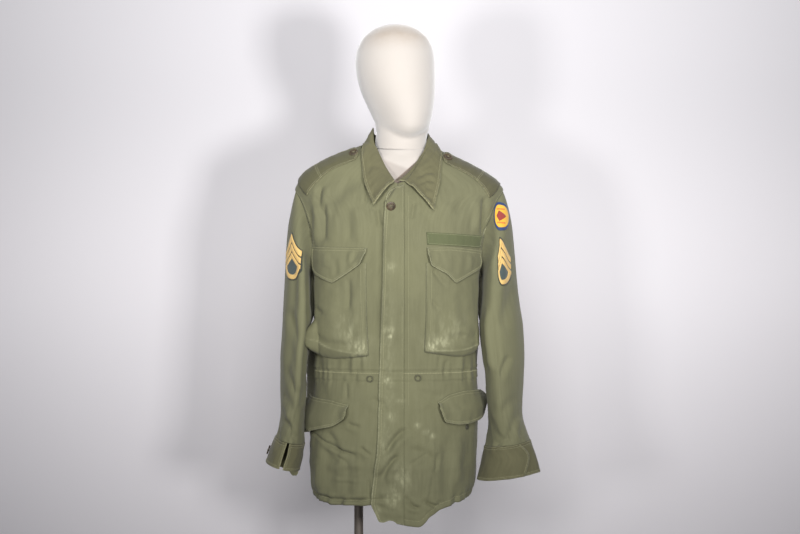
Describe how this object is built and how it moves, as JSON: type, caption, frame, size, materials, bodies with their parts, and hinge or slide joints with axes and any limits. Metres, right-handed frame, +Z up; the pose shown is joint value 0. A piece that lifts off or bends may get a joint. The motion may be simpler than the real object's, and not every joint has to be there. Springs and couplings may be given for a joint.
{
  "type": "field jacket on dress form stand",
  "caption": "Olive military field jacket, buttoned up over a cream dress form with a plain egg-shaped head on a steel pole and round base.",
  "frame": {"origin": "centre of the base's underside, on the floor", "axes": "+Z up, -Y out of the jacket's front, +X towards the wearer's left"},
  "size_m": [0.5949, 0.38, 1.82],
  "materials": {
    "olive_sateen": "matte, washed and faded",
    "badge_thread": "embroidered",
    "brown_button": "semi gloss",
    "olive_thread": "matte",
    "dark_snap": "worn black",
    "cream_jersey": "matte knit",
    "stand_steel": "satin"
  },
  "bodies": {
    "root": {"back": "olive_sateen", "front_right": "olive_sateen", "front_left": "olive_sateen", "fly": "olive_sateen", "collar": "olive_sateen", "sleeve_right": "olive_sateen", "sleeve_left": "olive_sateen", "cuff_right": "olive_sateen", "cuff_left": "olive_sateen", "cuff_tab_right": "olive_sateen", "chest_pocket_right": "olive_sateen", "chest_pocket_left": "olive_sateen", "chest_flap_right": "olive_sateen", "chest_flap_left": "olive_sateen", "hip_flap_right": "olive_sateen", "hip_flap_left": "olive_sateen", "name_tape": "olive_sateen", "epaulette_right": "olive_sateen", "epaulette_left": "olive_sateen", "rank_patch_right": "badge_thread", "rank_patch_left": "badge_thread", "shoulder_patch": "badge_thread", "front_button": "brown_button", "epaulette_button_right": "brown_button", "epaulette_button_left": "brown_button", "cuff_button_right": "brown_button", "eyelet_right": "olive_thread", "eyelet_left": "olive_thread", "snap_stud": "dark_snap", "form_torso": "cream_jersey", "form_head": "cream_jersey", "stand_pole": "stand_steel", "stand_socket": "stand_steel", "stand_base": "stand_steel"}
  },
  "joints": []
}
